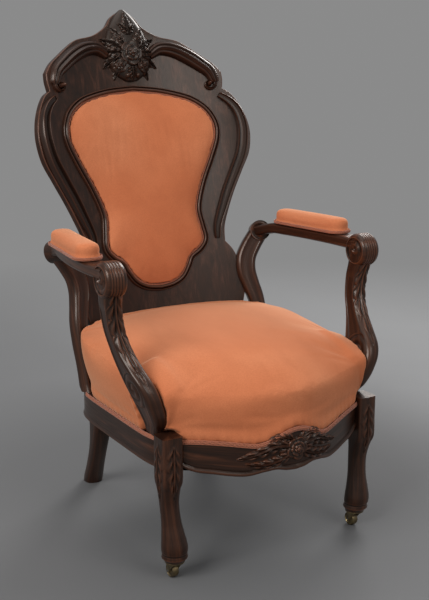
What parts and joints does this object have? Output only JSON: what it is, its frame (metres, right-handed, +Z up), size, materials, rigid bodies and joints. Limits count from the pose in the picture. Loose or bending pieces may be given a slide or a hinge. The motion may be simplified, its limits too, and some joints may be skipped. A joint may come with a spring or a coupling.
{
  "type": "laminated wood armchair",
  "caption": "Parlour armchair with a bent laminated balloon back, carved scroll arms, padded armrests, a sprung upholstered seat, cabriole legs and front casters.",
  "frame": {"origin": "on the floor, below the middle of the chair's bounding box", "axes": "+Z up, the chair faces -Y, +X is to the right of someone who looks along +Y, X = 0 is the plane of symmetry"},
  "size_m": [0.674, 0.7593, 1.1109],
  "materials": {
    "rosewood": "French polish",
    "carved_rosewood": "French polish over carving",
    "beech": "bare",
    "velvet": "short pile",
    "gimp": "woven braid",
    "steel": "dull",
    "brass": "aged",
    "jute": "woven",
    "cambric": "thin cotton"
  },
  "bodies": {
    "chair": {"back_shell": "rosewood", "panel_bead_l": "carved_rosewood", "panel_bead_r": "carved_rosewood", "rim_moulding_l": "carved_rosewood", "rim_moulding_r": "carved_rosewood", "crest_scroll_l": "carved_rosewood", "crest_scroll_r": "carved_rosewood", "crest_finial": "carved_rosewood", "back_pad": "velvet", "back_dowels": "beech", "back_scroll_l": "rosewood", "back_scroll_r": "rosewood", "arm_rail_l": "rosewood", "arm_rail_r": "rosewood", "arm_support_l": "rosewood", "arm_support_r": "rosewood", "arm_dowels": "beech", "arm_pad_l": "velvet", "arm_pad_r": "velvet", "arm_gimp_l": "gimp", "arm_gimp_r": "gimp", "front_rail": "rosewood", "side_rail_l": "rosewood", "side_rail_r": "rosewood", "rear_rail": "rosewood", "corner_blocks": "beech", "block_screws": "steel", "rail_dowels": "beech", "front_leg_l": "rosewood", "front_leg_r": "rosewood", "rear_leg_l": "rosewood", "rear_leg_r": "rosewood", "seat_cushion": "velvet", "seat_gimp": "gimp", "seat_hessian": "jute", "seat_springs": "steel", "seat_webbing": "jute", "dust_cover": "cambric", "caster_plate_l": "brass", "caster_plate_r": "brass", "caster_screws": "steel"},
    "fork_left": {"caster_fork_l": "brass", "caster_axle_l": "steel"},
    "wheel_left": {"caster_wheel_l": "brass"},
    "fork_right": {"caster_fork_r": "brass", "caster_axle_r": "steel"},
    "wheel_right": {"caster_wheel_r": "brass"}
  },
  "joints": [
    {"name": "swivel_left", "type": "hinge", "parent": "chair", "child": "fork_left", "pos_m": [-0.224, -0.28588, 0.035], "axis": [0, 0, 1], "continuous": true},
    {"name": "roll_left", "type": "hinge", "parent": "fork_left", "child": "wheel_left", "pos_m": [-0.224, -0.27588, 0.015], "axis": [1, 0, 0], "continuous": true},
    {"name": "swivel_right", "type": "hinge", "parent": "chair", "child": "fork_right", "pos_m": [0.224, -0.28588, 0.035], "axis": [0, 0, 1], "continuous": true},
    {"name": "roll_right", "type": "hinge", "parent": "fork_right", "child": "wheel_right", "pos_m": [0.224, -0.27588, 0.015], "axis": [1, 0, 0], "continuous": true}
  ]
}
